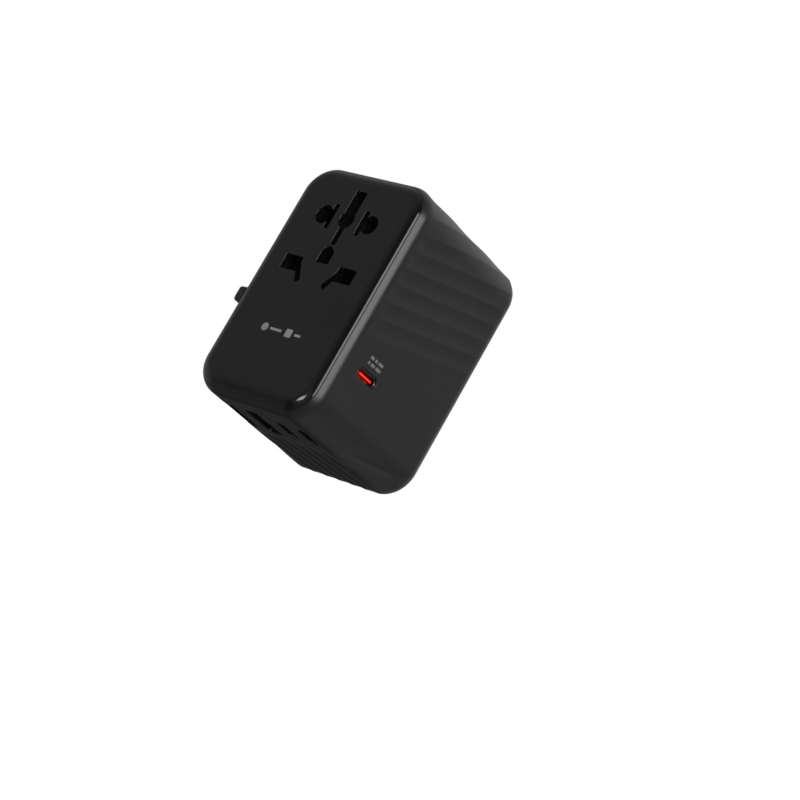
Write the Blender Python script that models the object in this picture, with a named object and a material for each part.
"""Universal travel adapter, modelled as an assembly of separate pieces.

Axes: +X right seen from the socket face, +Y backwards (the way the plug pins come out), +Z up.
The origin is the centre of the underside. Dimensions here are millimetres: x and z are measured
from the origin, and depth is measured backwards from the socket face. Each moving body has an
empty on its joint's axis, and its pieces are children of that empty.
"""
import math

import bmesh
import bpy
from mathutils import Vector

MM = 0.001
GAP = 0.3

# Housing
WIDTH = 50.2
HEIGHT = 77.4
DEPTH = 54.0
CORNER = 10.0
FRONT_EDGE = 4.8
BACK_EDGE = 4.5
WALL = 2.0
PLATE_BACK = 1.4
SHELL_FRONT = PLATE_BACK + GAP
COVER_FLOOR = 51.6
COVER_INSET = 4.0
SIDE = WIDTH / 2
INNER_SIDE = SIDE - WALL

# Socket openings, as (x, z) places and sizes on the front plate
LINE_Z = 43.8
ROUND_Z = 60.8
EARTH_Z = 66.1
BRITISH_X = 11.2
ROUND_X = 9.5
BLADE_X = 6.35
SLANT_X = 6.95
GROUND_Z = 48.7

# Fold-away plugs: each slides backwards and has a knob on the left side
CARRIAGE = (21.0, 25.5)
PIN_HEAD = 20.2
SLOT_END = 30.6
KNOB_LENGTH = 6.0
NECK_LENGTH = 3.0
ARM_X = (-INNER_SIDE + 0.4, -INNER_SIDE + 2.2)
TIP_DEPTH = DEPTH - GAP
UK_TRAVEL = 23.0
EU_TRAVEL = 19.3
US_TRAVEL = 17.3
UK_SLOT_Z = 31.4
EU_SLOT_Z = 43.5
US_SLOT_Z = 57.0
UK_PIN_X = 11.1
UK_PIN_Z = 24.0
UK_EARTH_Z = 46.2
EU_PIN_Z = 36.0
US_PIN_Z = 57.0
BLADE_TURN = 30.0

# Ports
PORT_DEPTH = 17.0
SIDE_PORT_DEPTH = 14.3
SIDE_PORT_Z = 21.3
PORT_RECESS = 1.5
USB_A = (5.7, 13.1)
USB_C = (3.3, 8.9)
PORTS = ((-15.9, USB_A), (-5.3, USB_A), (4.9, USB_C), (13.5, USB_C))
BOARD_Z = (17.7, 19.3)

# Fuse drawer, release button and screws
FUSE_Z = 67.6
FUSE_DEPTH = 48.2
DRAWER = ((-14.6, 14.6), (44.0, DEPTH), (63.4, 71.0))
BUTTON_DEPTH = 15.0
BUTTON_Z = 37.4
SCREW_X = 17.8
SCREW_LEVELS = (9.0, 66.0)

# Colours: (red, green, blue), roughness, metallic
GLOSS_BLACK = ((0.018, 0.018, 0.019), 0.22, 0.0)
SATIN_BLACK = ((0.024, 0.024, 0.025), 0.45, 0.0)
DARK_PLASTIC = ((0.012, 0.012, 0.012), 0.6, 0.0)
GREY_PLASTIC = ((0.12, 0.12, 0.125), 0.5, 0.0)
WHITE_PLASTIC = ((0.75, 0.75, 0.72), 0.5, 0.0)
RED_PLASTIC = ((0.75, 0.05, 0.02), 0.4, 0.0)
BRASS = ((0.72, 0.52, 0.22), 0.3, 1.0)
NICKEL = ((0.62, 0.6, 0.56), 0.25, 1.0)
SPRING_STEEL = ((0.5, 0.5, 0.5), 0.3, 1.0)
BOARD_GREEN = ((0.02, 0.16, 0.06), 0.5, 0.0)
CERAMIC = ((0.85, 0.83, 0.78), 0.35, 0.0)
COPPER = ((0.6, 0.25, 0.1), 0.4, 1.0)
FERRITE = ((0.05, 0.05, 0.055), 0.6, 0.0)
LEAD_RED = ((0.45, 0.03, 0.03), 0.5, 0.0)


def clear_scene():
    for obj in list(bpy.data.objects):
        bpy.data.objects.remove(obj, do_unlink=True)


def world(x, depth, z):
    """A point given in the adapter's millimetres, as metres in the part's frame."""
    return Vector((x, depth - DEPTH / 2, z)) * MM


def material(name, look):
    colour, roughness, metallic = look
    made = bpy.data.materials.new(name)
    made.use_nodes = True
    shader = made.node_tree.nodes["Principled BSDF"]
    shader.inputs["Base Color"].default_value = (*colour, 1.0)
    shader.inputs["Roughness"].default_value = roughness
    shader.inputs["Metallic"].default_value = metallic
    made.diffuse_color = (*colour, 1.0)
    return made


def joint_frame(name, x, depth, z, parent=None):
    """An empty on a joint's axis, which carries the pieces of one moving body."""
    empty = bpy.data.objects.new(name, None)
    place = world(x, depth, z)
    empty.location = place - (parent.location if parent else Vector())
    empty.parent = parent
    empty["place"] = place
    bpy.context.collection.objects.link(empty)
    return empty


def make(name, mesh, look=None, parent=None):
    """Turns a bmesh into an object; a piece with no look is a cutter or a guide."""
    bmesh.ops.recalc_face_normals(mesh, faces=mesh.faces)
    origin = Vector(parent["place"]) if parent else Vector()
    bmesh.ops.translate(mesh, vec=-origin, verts=mesh.verts)
    data = bpy.data.meshes.new(name)
    mesh.to_mesh(data)
    mesh.free()
    obj = bpy.data.objects.new(name, data)
    obj.parent = parent
    bpy.context.collection.objects.link(obj)
    if look:
        data.materials.append(material(name, look))
        data.shade_smooth()
        data.set_sharp_from_angle(angle=math.radians(35))
    else:
        obj.hide_render = True
        obj.display_type = "WIRE"
    return obj


def boolean(target, tool, operation):
    modifier = target.modifiers.new(tool.name, "BOOLEAN")
    modifier.operation = operation
    modifier.object = tool
    return target


def cut(target, *tools):
    for tool in tools:
        boolean(target, tool, "DIFFERENCE")
    return target


def fuse(target, *tools):
    for tool in tools:
        boolean(target, tool, "UNION")
    return target


# Shapes: each returns a bmesh in the part's frame

def box_shape(x, depth, z):
    mesh = bmesh.new()
    bmesh.ops.create_cube(mesh, size=1.0)
    low = world(x[0], depth[0], z[0])
    high = world(x[1], depth[1], z[1])
    for vert in mesh.verts:
        vert.co = Vector([low[i] + (vert.co[i] + 0.5) * (high[i] - low[i]) for i in range(3)])
    return mesh


def loft_shape(rings, closed=False):
    """Skins a list of point rings. An open skin is capped at both ends."""
    mesh = bmesh.new()
    made = [[mesh.verts.new(world(*point)) for point in ring] for ring in rings]
    pairs = list(zip(made, made[1:]))
    if closed:
        pairs.append((made[-1], made[0]))
    for near, far in pairs:
        for i in range(len(near)):
            j = (i + 1) % len(near)
            mesh.faces.new((near[i], near[j], far[j], far[i]))
    if not closed:
        mesh.faces.new(made[0])
        mesh.faces.new(made[-1])
    return mesh


def prism_shape(outline, depths):
    """Extrudes an (x, z) outline between two depths."""
    return loft_shape([[(x, depth, z) for x, z in outline] for depth in depths])


def side_prism_shape(outline, xs):
    """Extrudes a (depth, z) outline between two x places."""
    return loft_shape([[(x, depth, z) for depth, z in outline] for x in xs])


def floor_prism_shape(outline, zs):
    """Extrudes an (x, depth) outline between two heights."""
    return loft_shape([[(x, depth, z) for x, depth in outline] for z in zs])


def tube_shape(path, radius, sides):
    """A round wire along a path of (x, depth, z) points, capped at both ends."""
    points = [Vector(point) for point in path]
    rings = []
    side_way = None
    for i, point in enumerate(points):
        ahead = points[min(i + 1, len(points) - 1)]
        behind = points[max(i - 1, 0)]
        forward = (ahead - behind).normalized()
        if side_way is None:
            side_way = forward.orthogonal().normalized()
        side_way = (side_way - forward * side_way.dot(forward)).normalized()
        up_way = forward.cross(side_way)
        ring = []
        for k in range(sides):
            angle = math.tau * k / sides
            ring.append(tuple(point + radius * (math.cos(angle) * side_way + math.sin(angle) * up_way)))
        rings.append(ring)
    return loft_shape(rings)


# Outlines

def circle(x, z, radius, sides=16):
    steps = [math.tau * (k + 0.5) / sides for k in range(sides)]
    return [(x + radius * math.cos(a), z + radius * math.sin(a)) for a in steps]


def rectangle(x, z, width, height, turn=0.0):
    """A rectangle about (x, z), its top leaning towards +X by a turn in degrees."""
    lean = math.radians(turn)
    corners = []
    for across, up in ((-1, -1), (1, -1), (1, 1), (-1, 1)):
        u = across * width / 2
        v = up * height / 2
        corners.append((x + u * math.cos(lean) + v * math.sin(lean),
                        z - u * math.sin(lean) + v * math.cos(lean)))
    return corners


def rounded(low_x, high_x, low_z, high_z, radius, steps=5):
    """A rectangle with round corners, anticlockwise from the lower right."""
    centres = ((high_x - radius, low_z + radius, -90), (high_x - radius, high_z - radius, 0),
               (low_x + radius, high_z - radius, 90), (low_x + radius, low_z + radius, 180))
    points = []
    for x, z, start in centres:
        for k in range(steps + 1):
            angle = math.radians(start + 90 * k / steps)
            points.append((x + radius * math.cos(angle), z + radius * math.sin(angle)))
    return points


def arch(x, low_z, width, height, steps=8):
    """A flat-bottomed opening with a round top."""
    radius = width / 2
    spring_z = low_z + height - radius
    points = [(x - radius, low_z), (x + radius, low_z)]
    for k in range(steps + 1):
        angle = math.pi * k / steps
        points.append((x + radius * math.cos(angle), spring_z + radius * math.sin(angle)))
    return points


def housing_ring(depth, inset):
    """The housing's outline at one depth, drawn in from its widest by an inset."""
    outline = rounded(-SIDE + inset, SIDE - inset, inset, HEIGHT - inset, CORNER - inset)
    return [(x, depth, z) for x, z in outline]


def edge_inset(distance, radius):
    """How far a rounded edge draws in at a distance from its flat end face."""
    if distance >= radius:
        return 0.0
    return radius - math.sqrt(radius ** 2 - (radius - distance) ** 2)


# Pieces

def block(name, x, depth, z, look=None, parent=None):
    return make(name, box_shape(x, depth, z), look, parent)


def prism(name, outline, depths, look=None, parent=None):
    return make(name, prism_shape(outline, depths), look, parent)


def socket_cutters():
    """The overlapping openings of the universal socket, right through the plate and core."""
    depths = (-1.0, 8.0)
    cutters = [
        prism("cut_earth_pin", rectangle(0, EARTH_Z, 4.4, 8.6), depths),
        prism("cut_middle", circle(0, ROUND_Z, 2.9), depths),
        prism("cut_slim_earth", rectangle(0, 56.0, 2.0, 7.6), depths),
        prism("cut_ground", arch(0, GROUND_Z - 2.8, 5.0, 5.6), depths),
    ]
    for side, tag in ((-1, "left"), (1, "right")):
        cutters += [
            prism(f"cut_british_{tag}", rectangle(side * BRITISH_X, LINE_Z, 7.2, 4.8), depths),
            prism(f"cut_slant_{tag}", rectangle(side * SLANT_X, 41.6, 2.0, 7.0, side * 30), depths),
            prism(f"cut_round_{tag}", circle(side * ROUND_X, ROUND_Z, 3.05), depths),
            prism(f"cut_blade_{tag}", rectangle(side * BLADE_X, ROUND_Z, 1.8, 8.2), depths),
        ]
    return cutters


def front_plate(cutters):
    depths = (0.0, 0.2, 0.5, 0.9, PLATE_BACK)
    rings = [housing_ring(depth, edge_inset(depth, FRONT_EDGE)) for depth in depths]
    return cut(make("front_plate", loft_shape(rings), GLOSS_BLACK), *cutters)


def socket_core(cutters):
    inset = WALL + GAP
    rings = [housing_ring(depth, inset) for depth in (SHELL_FRONT, 3.9)]
    core = make("socket_core", loft_shape(rings), DARK_PLASTIC)
    fuse(core, block("add_core_block", (-17.0, 17.0), (3.4, 7.2), (36.5, 73.5)))
    return cut(core, *cutters)


def main_shell():
    """The sleeve: open at the front, with a lip round the rear cover at the back."""
    rings = [housing_ring(depth, edge_inset(depth, FRONT_EDGE)) for depth in (SHELL_FRONT, 2.6, 3.6)]
    rings.append(housing_ring(FRONT_EDGE, 0.0))
    for depth in (DEPTH - BACK_EDGE, 51.0, 52.3, 53.2, 53.8):
        rings.append(housing_ring(depth, edge_inset(DEPTH - depth, BACK_EDGE)))
    rings.append(housing_ring(53.93, COVER_INSET - GAP))
    rings.append(housing_ring(50.4, COVER_INSET - GAP))
    rings.append(housing_ring(50.4, WALL))
    rings.append(housing_ring(SHELL_FRONT, WALL))
    shell = make("main_shell", loft_shape(rings, closed=True), SATIN_BLACK)
    for level, tag in zip(SCREW_LEVELS, ("low", "high")):
        for side, hand in ((-1, "left"), (1, "right")):
            x = side * SCREW_X
            depths = (38.0, COVER_FLOOR - GAP)
            boss = prism(f"add_boss_{tag}_{hand}", circle(x, level, 2.4, 12), depths)
            web_x = sorted((x + side * 1.5, side * (SIDE - 0.8)))
            web = block(f"add_web_{tag}_{hand}", web_x, (38.5, 48.7), (level - 0.8, level + 0.8))
            bore = prism(f"cut_boss_{tag}_{hand}", circle(x, level, 1.5, 12), (37.0, 52.0))
            fuse(shell, boss, web)
            cut(shell, bore)
    return cut(shell, *port_cutters(), *side_slot_cutters())


def port_cutters():
    cutters = []
    for number, (x, size) in enumerate(PORTS):
        half_x = size[0] / 2 + GAP
        half_depth = size[1] / 2 + GAP
        radius = 0.6 if size is USB_A else half_x - 0.01
        outline = rounded(x - half_x, x + half_x, PORT_DEPTH - half_depth, PORT_DEPTH + half_depth, radius)
        cutters.append(make(f"cut_port_{number + 1}", floor_prism_shape(outline, (-1.0, 3.0))))
    half_z = USB_C[0] / 2 + GAP
    half_depth = USB_C[1] / 2 + GAP
    outline = rounded(SIDE_PORT_DEPTH - half_depth, SIDE_PORT_DEPTH + half_depth,
                      SIDE_PORT_Z - half_z, SIDE_PORT_Z + half_z, half_z - 0.01)
    cutters.append(make("cut_side_port", side_prism_shape(outline, (INNER_SIDE - 1.0, SIDE + 1.0))))
    return cutters


def knob_front(travel):
    """The sliders stop at one line at the back, so their front ends differ by their travels."""
    return SLOT_END + 1.2 - KNOB_LENGTH - travel


def side_slot_cutters():
    wall_x = (-SIDE - 1.0, -INNER_SIDE + 1.0)
    cutters = []
    sliders = ((UK_TRAVEL, UK_SLOT_Z, "uk"), (EU_TRAVEL, EU_SLOT_Z, "eu"), (US_TRAVEL, US_SLOT_Z, "us"))
    for travel, z, tag in sliders:
        start = knob_front(travel) + (KNOB_LENGTH - NECK_LENGTH) / 2 - GAP
        cutters.append(block(f"cut_slot_{tag}", wall_x, (start, SLOT_END), (z - 1.4, z + 1.4)))
    outline = rounded(BUTTON_DEPTH - 3.3, BUTTON_DEPTH + 3.3, BUTTON_Z - 3.6, BUTTON_Z + 3.6, 1.5, 3)
    cutters.append(make("cut_button", side_prism_shape(outline, wall_x)))
    return cutters


def rear_cover():
    """A flat plate let into the sleeve's back, with the exits for the pins and the fuse drawer."""
    profile = ((COVER_FLOOR, 0.0), (DEPTH - 0.3, 0.0), (DEPTH, 0.3))
    rings = [housing_ring(depth, COVER_INSET + chamfer) for depth, chamfer in profile]
    cover = make("rear_cover", loft_shape(rings), SATIN_BLACK)
    depths = (COVER_FLOOR - 1.0, DEPTH + 1.0)
    exits = [prism("cut_exit_uk_earth", rectangle(0, UK_EARTH_Z, 4.7, 8.7), depths)]
    for side, tag in ((-1, "left"), (1, "right")):
        exits.append(prism(f"cut_exit_uk_{tag}", rectangle(side * UK_PIN_X, UK_PIN_Z, 7.0, 4.7), depths))
        exits.append(prism(f"cut_exit_eu_{tag}", circle(side * ROUND_X, EU_PIN_Z, 2.4), depths))
        for step in range(4):
            outline = rectangle(side * BLADE_X, US_PIN_Z, 2.2, 7.0, side * BLADE_TURN * step / 3)
            exits.append(prism(f"cut_exit_us_{tag}_{step}", outline, depths))
    low, high = DRAWER[0][0] - GAP, DRAWER[0][1] + GAP
    exits.append(block("cut_exit_fuse", (low, high), depths, (DRAWER[2][0] - GAP, DRAWER[2][1] + GAP)))
    for level, tag in zip(SCREW_LEVELS, ("low", "high")):
        for side, hand in ((-1, "left"), (1, "right")):
            x = side * SCREW_X
            exits.append(prism(f"cut_screw_{tag}_{hand}", circle(x, level, 1.5, 12), depths))
            exits.append(prism(f"cut_head_{tag}_{hand}", circle(x, level, 2.4), (52.4, DEPTH + 1.0)))
    return cut(cover, *exits)


def rear_screws():
    """Four screws, each a flat head with a round shank."""
    places = [(side * SCREW_X, level) for level in SCREW_LEVELS for side in (-1, 1)]
    for number, (x, z) in enumerate(places):
        rings = []
        for depth, radius in ((40.0, 1.2), (52.7, 1.2), (52.7, 2.1), (53.6, 2.1)):
            rings.append([(px, depth, pz) for px, pz in circle(x, z, radius, 12)])
        make(f"rear_screw_{number + 1}", loft_shape(rings), SPRING_STEEL)


def safety_shutter():
    """A sprung plate with two wings. Its openings meet the socket's when it slides down."""
    frame = joint_frame("shutter_axis", 0, 8.3, 36.5)
    depths = (7.5, 9.1)
    shutter = block("safety_shutter", (-16.6, 16.6), depths, (36.5, 73.2), DARK_PLASTIC, frame)
    lift = 6.4
    cutter_depths = (7.0, 10.0)
    cut(shutter, block("cut_shutter_middle", (-3.9, 3.9), cutter_depths, (45.0, 75.0), None, frame))
    for side, tag in ((-1, "left"), (1, "right")):
        shapes = (("line", rectangle(side * 11.0, LINE_Z + lift, 7.4, 5.2)),
                  ("round", circle(side * ROUND_X, ROUND_Z + lift, 3.2)),
                  ("blade", rectangle(side * BLADE_X, ROUND_Z + lift, 2.2, 8.4)))
        for kind, outline in shapes:
            cut(shutter, prism(f"cut_shutter_{kind}_{tag}", outline, cutter_depths, None, frame))
    return shutter


def coil_points(length, radius, turns, steps_per_turn=10):
    """Points along a helix, as (along the axis, across, across)."""
    steps = turns * steps_per_turn
    points = []
    for k in range(steps + 1):
        angle = math.tau * turns * k / steps
        points.append((length * k / steps, radius * math.cos(angle), radius * math.sin(angle)))
    return points


def springs():
    """One coil lifts the shutter, the other pushes the release button out."""
    wire, sides = 0.3, 6
    upright = [(a, 8.3 + b, 26.4 + along) for along, a, b in coil_points(9.3, 1.4, 6)]
    make("shutter_spring", tube_shape(upright, wire, sides), SPRING_STEEL)
    level = [(-18.6 + along, BUTTON_DEPTH + a, 34.0 + b) for along, a, b in coil_points(5.8, 1.5, 4)]
    make("release_spring", tube_shape(level, wire, sides), SPRING_STEEL)


def contact_block():
    """An insulating frame with three windows, one for each contact, and the springs' ledges."""
    holder = block("contact_block", (-17.0, 17.0), (9.5, 17.5), (37.0, 73.5), WHITE_PLASTIC)
    fuse(holder, block("add_rail", (-12.3, 12.3), (12.5, 17.5), (30.5, 38.0)))
    fuse(holder, block("add_tab", (-2.5, 2.5), (12.7, 17.3), (24.4, 31.5)))
    fuse(holder, block("add_ledge", (-2.3, 2.3), (6.8, 14.0), (24.6, 26.0)))
    depths = (8.0, 19.0)
    windows = [block("cut_window_earth", (-3.5, 3.5), depths, (45.3, 71.5))]
    for side, tag in ((-1, "left"), (1, "right")):
        xs = sorted((side * 4.9, side * 15.5))
        windows.append(block(f"cut_window_{tag}", xs, depths, (38.8, 66.6)))
    return cut(holder, *windows)


def line_contact(name, side):
    """A strap with sprung leaves above and below each live opening."""
    def span(a, b):
        return sorted((side * a, side * b))
    contact = block(name, span(9.0, 13.0), (17.8, 18.6), (40.0, 65.4), BRASS)
    leaves = ((8.0, 14.2, 40.4), (8.0, 14.2, 46.5), (5.3, 12.6, 56.6), (5.3, 12.6, 64.2))
    for number, (near, far, z) in enumerate(leaves):
        fuse(contact, block(f"add_{name}_{number}", span(near, far), (10.0, 18.2), (z, z + 0.7)))
    return contact


def earth_contact():
    contact = block("earth_contact", (-3.0, 3.0), (17.8, 18.6), (46.2, 71.2), BRASS)
    for number, (low, high) in enumerate(((46.6, 51.0), (62.0, 70.0))):
        for side in (-1, 1):
            xs = sorted((side * 2.5, side * 3.1))
            fuse(contact, block(f"add_earth_{number}_{side}", xs, (10.0, 18.2), (low, high)))
    return contact


def busbars():
    """Strips from the contacts to the rear of the plug carriages' travel."""
    live = block("live_busbar", (20.4, 21.2), (17.9, 47.0), (31.0, 53.0), BRASS)
    fuse(live, block("add_live_tab", (13.3, 20.9), (17.8, 18.6), (49.8, 52.8)))
    neutral = block("neutral_busbar", (-19.8, -19.0), (17.9, 47.0), (46.0, 53.0), BRASS)
    fuse(neutral, block("add_neutral_tab", (-19.3, -13.3), (17.8, 18.6), (49.8, 52.8)))
    earth = block("earth_busbar", (-3.0, 3.0), (17.9, 40.0), (72.6, 73.4), BRASS)
    fuse(earth, block("add_earth_tab", (-2.8, 2.8), (17.8, 18.6), (71.5, 73.0)))


def slider_arm(carriage, tag, travel, slot_z, frame):
    """The arm along the left wall and the neck through its slot, joined to a carriage."""
    neck_start = knob_front(travel) + (KNOB_LENGTH - NECK_LENGTH) / 2
    arm_depth = (neck_start - 0.2, CARRIAGE[1] - 0.1)
    arm = block(f"add_{tag}_arm", ARM_X, arm_depth, (slot_z - 1.7, slot_z + 1.7), None, frame)
    neck = block(f"add_{tag}_neck", (-SIDE, ARM_X[1] - 0.3), (neck_start, neck_start + NECK_LENGTH),
                 (slot_z - 1.1, slot_z + 1.1), None, frame)
    return fuse(carriage, arm, neck)


def slider_knob(tag, travel, slot_z, frame):
    front = knob_front(travel)
    outline = rounded(front, front + KNOB_LENGTH, slot_z - 2.6, slot_z + 2.6, 0.9, 3)
    inner = [(-SIDE - GAP, depth, z) for depth, z in outline]
    middle = [(-SIDE - 3.0, depth, z) for depth, z in outline]
    tip = [(-SIDE - 3.7, depth, z) for depth, z in
           rounded(front + 0.5, front + KNOB_LENGTH - 0.5, slot_z - 2.1, slot_z + 2.1, 0.6, 3)]
    return make(f"{tag}_knob", loft_shape([inner, middle, tip]), DARK_PLASTIC, frame)


def flat_pin(name, x, z, width, height, tip, look, frame):
    """A rectangular pin with its tip chamfered on all four sides."""
    depths = ((PIN_HEAD, 1.0), (tip - 1.6, 1.0), (tip, 0.62))
    rings = []
    for depth, scale in depths:
        outline = rectangle(x, z, width * scale, height * scale)
        rings.append([(px, depth, pz) for px, pz in outline])
    return make(name, loft_shape(rings), look, frame)


def uk_plug():
    frame = joint_frame("uk_slide_axis", 0, CARRIAGE[0], UK_SLOT_Z)
    carriage = block("uk_carriage", (-16.2, 19.5), CARRIAGE, (20.6, 27.8), DARK_PLASTIC, frame)
    inner = (CARRIAGE[0] + 0.05, CARRIAGE[1] - 0.05)
    fuse(carriage, block("add_uk_link", (ARM_X[0], -15.0), inner, (20.9, 33.0), None, frame))
    fuse(carriage, block("add_uk_riser", (16.6, 19.3), inner, (24.0, 49.6), None, frame))
    fuse(carriage, block("add_uk_top", (-3.4, 19.0), CARRIAGE, (41.2, 51.4), None, frame))
    slider_arm(carriage, "uk", UK_TRAVEL, UK_SLOT_Z, frame)
    through = (CARRIAGE[0] - 1.0, CARRIAGE[1] + 1.0)
    for side, tag in ((-1, "left"), (1, "right")):
        outline = rectangle(side * UK_PIN_X, UK_PIN_Z, 6.95, 4.6)
        cut(carriage, prism(f"cut_uk_seat_{tag}", outline, through, None, frame))
    earth_outline = rectangle(0, UK_EARTH_Z, 4.6, 8.6)
    cut(carriage, prism("cut_uk_seat_earth", earth_outline, through, None, frame))
    line_tip = DEPTH + 17.7 - UK_TRAVEL
    flat_pin("uk_live_pin", UK_PIN_X, UK_PIN_Z, 6.35, 4.0, line_tip, BRASS, frame)
    flat_pin("uk_neutral_pin", -UK_PIN_X, UK_PIN_Z, 6.35, 4.0, line_tip, BRASS, frame)
    flat_pin("uk_earth_pin", 0, UK_EARTH_Z, 4.0, 8.0, TIP_DEPTH, BRASS, frame)
    slider_knob("uk", UK_TRAVEL, UK_SLOT_Z, frame)


def eu_plug():
    frame = joint_frame("eu_slide_axis", 0, CARRIAGE[0], EU_SLOT_Z)
    carriage = block("eu_carriage", (-13.0, 13.0), CARRIAGE, (32.4, 39.6), DARK_PLASTIC, frame)
    inner = (CARRIAGE[0] + 0.05, CARRIAGE[1] - 0.05)
    fuse(carriage, block("add_eu_link", (ARM_X[0], -12.0), inner, (36.5, 39.4), None, frame))
    fuse(carriage, block("add_eu_riser", ARM_X, inner, (37.0, 45.1), None, frame))
    slider_arm(carriage, "eu", EU_TRAVEL, EU_SLOT_Z, frame)
    through = (CARRIAGE[0] - 1.0, CARRIAGE[1] + 1.0)
    for side, tag in ((-1, "left"), (1, "right")):
        x = side * ROUND_X
        cut(carriage, prism(f"cut_eu_seat_{tag}", circle(x, EU_PIN_Z, 2.35, 12), through, None, frame))
        rings = []
        for depth, radius in ((PIN_HEAD, 2.0), (TIP_DEPTH - 1.4, 2.0), (TIP_DEPTH - 0.4, 1.5), (TIP_DEPTH, 0.8)):
            rings.append([(px, depth, pz) for px, pz in circle(x, EU_PIN_Z, radius, 12)])
        make(f"eu_pin_{tag}", loft_shape(rings), NICKEL, frame)
    slider_knob("eu", EU_TRAVEL, EU_SLOT_Z, frame)


def us_plug():
    """Two flat blades, each in a round rotor that turns it to the slanted Australian setting."""
    frame = joint_frame("us_slide_axis", 0, CARRIAGE[0], US_SLOT_Z)
    carriage = block("us_carriage", (-13.0, 13.0), CARRIAGE, (52.2, 61.8), DARK_PLASTIC, frame)
    inner = (CARRIAGE[0] + 0.05, CARRIAGE[1] - 0.05)
    fuse(carriage, block("add_us_link", (ARM_X[0], -12.0), inner, (55.4, 58.6), None, frame))
    slider_arm(carriage, "us", US_TRAVEL, US_SLOT_Z, frame)
    through = (CARRIAGE[0] - 1.0, CARRIAGE[1] + 1.0)
    for side, tag in ((-1, "left"), (1, "right")):
        x = side * BLADE_X
        cut(carriage, prism(f"cut_us_seat_{tag}", circle(x, US_PIN_Z, 3.9), through, None, frame))
        pivot = joint_frame(f"us_blade_axis_{tag}", x, CARRIAGE[0], US_PIN_Z, frame)
        rings = []
        for depth, radius in ((19.4, 4.3), (20.7, 4.3), (20.7, 3.6), (25.3, 3.6)):
            rings.append([(px, depth, pz) for px, pz in circle(x, US_PIN_Z, radius)])
        rotor = make(f"us_rotor_{tag}", loft_shape(rings), GREY_PLASTIC, pivot)
        slot = prism(f"cut_rotor_{tag}", rectangle(x, US_PIN_Z, 2.1, 5.0), (18.0, 27.0), None, pivot)
        cut(rotor, slot)
        rings = []
        for depth, width, height in ((19.0, 1.5, 4.4), (25.6, 1.5, 4.4), (25.6, 1.5, 6.35),
                                     (TIP_DEPTH - 1.5, 1.5, 6.35), (TIP_DEPTH, 0.7, 4.6)):
            outline = rectangle(x, US_PIN_Z, width, height)
            rings.append([(px, depth, pz) for px, pz in outline])
        make(f"us_blade_{tag}", loft_shape(rings), BRASS, pivot)
    slider_knob("us", US_TRAVEL, US_SLOT_Z, frame)


def release_button():
    """A sprung button between the sliders, joined to the bar that locks their arms."""
    frame = joint_frame("release_axis", -SIDE, BUTTON_DEPTH, BUTTON_Z)
    outline = rounded(BUTTON_DEPTH - 3.0, BUTTON_DEPTH + 3.0, BUTTON_Z - 3.3, BUTTON_Z + 3.3, 1.2, 3)
    crown = rounded(BUTTON_DEPTH - 2.5, BUTTON_DEPTH + 2.5, BUTTON_Z - 2.8, BUTTON_Z + 2.8, 1.0, 3)
    rings = [[(-SIDE - 0.9, depth, z) for depth, z in crown]]
    rings += [[(x, depth, z) for depth, z in outline] for x in (-SIDE - 0.5, -22.0)]
    button = make("release_button", loft_shape(rings), SATIN_BLACK, frame)
    flange_z = (BUTTON_Z - 3.9, BUTTON_Z + 3.9)
    fuse(button, block("add_flange", (-22.8, -21.3), (BUTTON_DEPTH - 4.2, BUTTON_DEPTH + 4.2),
                       flange_z, None, frame))
    fuse(button, block("add_stem", (-22.0, -20.8), (13.6, 16.4), (34.6, 39.2), None, frame))
    block("lock_bar", (-20.5, -19.3), (13.5, 16.5), (27.0, 60.5), GREY_PLASTIC, frame)


def fuse_drawer():
    frame = joint_frame("fuse_slide_axis", 0, DEPTH, FUSE_Z)
    drawer = block("fuse_carrier", *DRAWER, SATIN_BLACK, frame)
    cut(drawer, block("cut_drawer", (-13.1, 13.1), (44.8, COVER_FLOOR), (64.1, 72.0), None, frame))
    cut(drawer, block("cut_drawer_grip", (-4.0, 4.0), (53.2, DEPTH + 1.0), (69.6, 72.0), None, frame))

    def fuse_ring(x, radius):
        return [(x, depth, z) for depth, z in circle(FUSE_DEPTH, FUSE_Z, radius, 12)]
    make("fuse_tube", loft_shape([fuse_ring(-6.0, 2.9), fuse_ring(6.0, 2.9)]), CERAMIC, frame)
    for side, tag in ((-1, "left"), (1, "right")):
        cap = loft_shape([fuse_ring(side * 6.3, 3.15), fuse_ring(side * 12.7, 3.15)])
        make(f"fuse_cap_{tag}", cap, NICKEL, frame)
        block(f"fuse_contact_{tag}", sorted((side * 9.0, side * 12.6)), (40.0, 49.1), (71.4, 72.2), BRASS)


def usb_shell(name, outline_at, ends):
    """A folded metal port shell, open at its mouth and its back."""
    rings = [outline_at(ends[0], 0.0), outline_at(ends[1], 0.0)]
    rings += [outline_at(ends[1], 0.35), outline_at(ends[0], 0.35)]
    return make(name, loft_shape(rings, closed=True), NICKEL)


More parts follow.
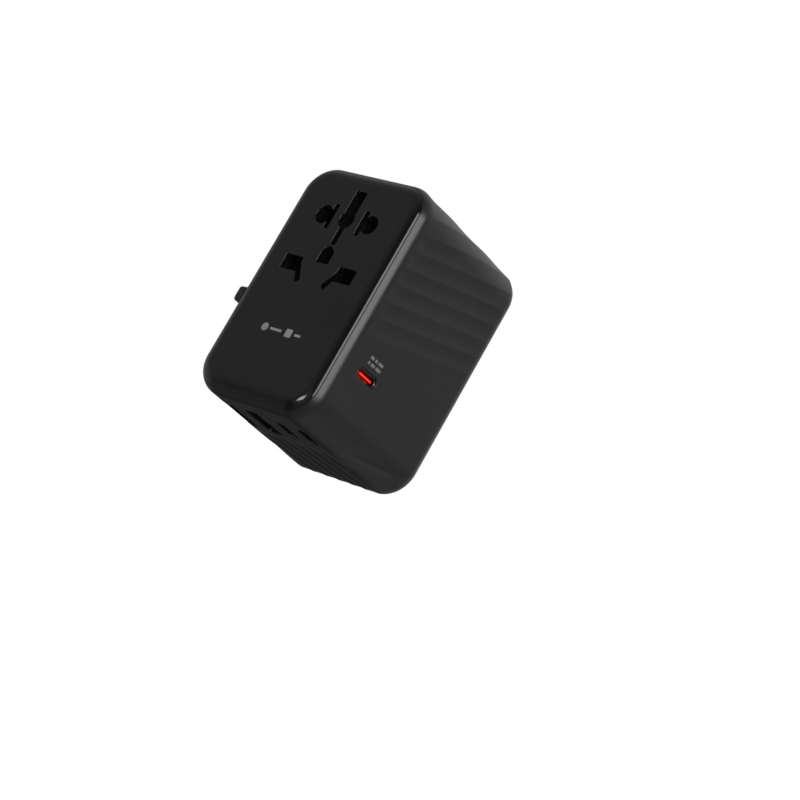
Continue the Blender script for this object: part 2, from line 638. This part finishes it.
def lower_port(number, x, size):
    half_x = size[0] / 2
    half_depth = size[1] / 2

    def ring(z, inset):
        radius = (0.5 if size is USB_A else half_x - 0.02) - inset
        points = rounded(x - half_x + inset, x + half_x - inset, PORT_DEPTH - half_depth + inset,
                         PORT_DEPTH + half_depth - inset, max(radius, 0.1), 3)
        return [(px, depth, z) for px, depth in points]
    kind = "a" if size is USB_A else "c"
    tag = number % 2 + 1
    usb_shell(f"usb_{kind}_shell_{tag}", ring, (PORT_RECESS, BOARD_Z[0] - GAP))
    tongue_x = (x - 2.0, x - 0.2) if size is USB_A else (x - 0.35, x + 0.35)
    tongue_half = 5.5 if size is USB_A else 3.3
    tongue = block(f"usb_{kind}_tongue_{tag}", tongue_x, (PORT_DEPTH - tongue_half, PORT_DEPTH + tongue_half),
                   (PORT_RECESS + 0.8, 12.0), DARK_PLASTIC)
    inner = ring(10.0, 0.65)
    base = loft_shape([inner, [(px, depth, BOARD_Z[0] - GAP) for px, depth, _ in inner]])
    fuse(tongue, make(f"add_base_{kind}_{tag}", base))


def side_port():
    """The port on the right side, lying on the board, with its bright red tongue."""
    half_depth = USB_C[1] / 2
    half_z = USB_C[0] / 2

    def ring(x, inset):
        points = rounded(SIDE_PORT_DEPTH - half_depth + inset, SIDE_PORT_DEPTH + half_depth - inset,
                         SIDE_PORT_Z - half_z + inset, SIDE_PORT_Z + half_z - inset, half_z - inset - 0.02, 3)
        return [(x, depth, z) for depth, z in points]
    mouth = SIDE - 0.4
    usb_shell("side_usb_c_shell", ring, (16.8, mouth))
    tongue = block("side_usb_c_tongue", (18.0, mouth - 0.6), (SIDE_PORT_DEPTH - 3.3, SIDE_PORT_DEPTH + 3.3),
                   (SIDE_PORT_Z - 0.35, SIDE_PORT_Z + 0.35), RED_PLASTIC)
    base = ring(16.8, 0.65)
    fuse(tongue, make("add_side_base", loft_shape([base, [(19.6, depth, z) for _, depth, z in base]])))


def boards():
    block("usb_board", (-21.5, 21.5), (5.5, 26.5), BOARD_Z, BOARD_GREEN)
    block("power_board", (-15.0, 15.0), (29.0, 49.0), (3.0, 4.6), BOARD_GREEN)
    transformer = block("transformer", (-13.6, -0.6), (33.0, 45.0), (4.9, 19.6), FERRITE)
    winding = rounded(-12.0, -2.2, 31.2, 46.8, 2.0, 3)
    fuse(transformer, make("add_winding", floor_prism_shape(winding, (7.4, 17.0))))
    for number, depth in enumerate((34.0, 44.0)):
        can = floor_prism_shape(circle(4.4, depth, 4.0, 12), (4.9, 19.0))
        make(f"capacitor_{number + 1}", can, FERRITE)

    def ring(z, radius):
        return [(x, depth, z) for x, depth in circle(11.8, 39.0, radius, 12)]
    choke = loft_shape([ring(4.9, 2.9), ring(10.5, 2.9), ring(10.5, 1.3), ring(4.9, 1.3)], closed=True)
    make("choke", choke, COPPER)


def supply_leads():
    """Two insulated leads from the busbars' side down to the power board."""
    for number, depth in enumerate((30.5, 33.5)):
        path = [(22.2, depth, 50.0), (22.2, depth, 30.0), (22.2, depth, 12.0), (21.6, depth, 7.0),
                (19.8, depth, 4.8), (17.4, depth, 3.9), (15.4, depth, 3.8)]
        make(f"supply_lead_{number + 1}", tube_shape(path, 0.55, 8), LEAD_RED)


def build():
    clear_scene()
    cutters = socket_cutters()
    front_plate(cutters)
    socket_core(cutters)
    main_shell()
    rear_cover()
    rear_screws()
    safety_shutter()
    springs()
    contact_block()
    line_contact("live_contact", 1)
    line_contact("neutral_contact", -1)
    earth_contact()
    busbars()
    uk_plug()
    eu_plug()
    us_plug()
    release_button()
    fuse_drawer()
    for number, (x, size) in enumerate(PORTS):
        lower_port(number, x, size)
    side_port()
    boards()
    supply_leads()
    bpy.context.view_layer.update()


build()
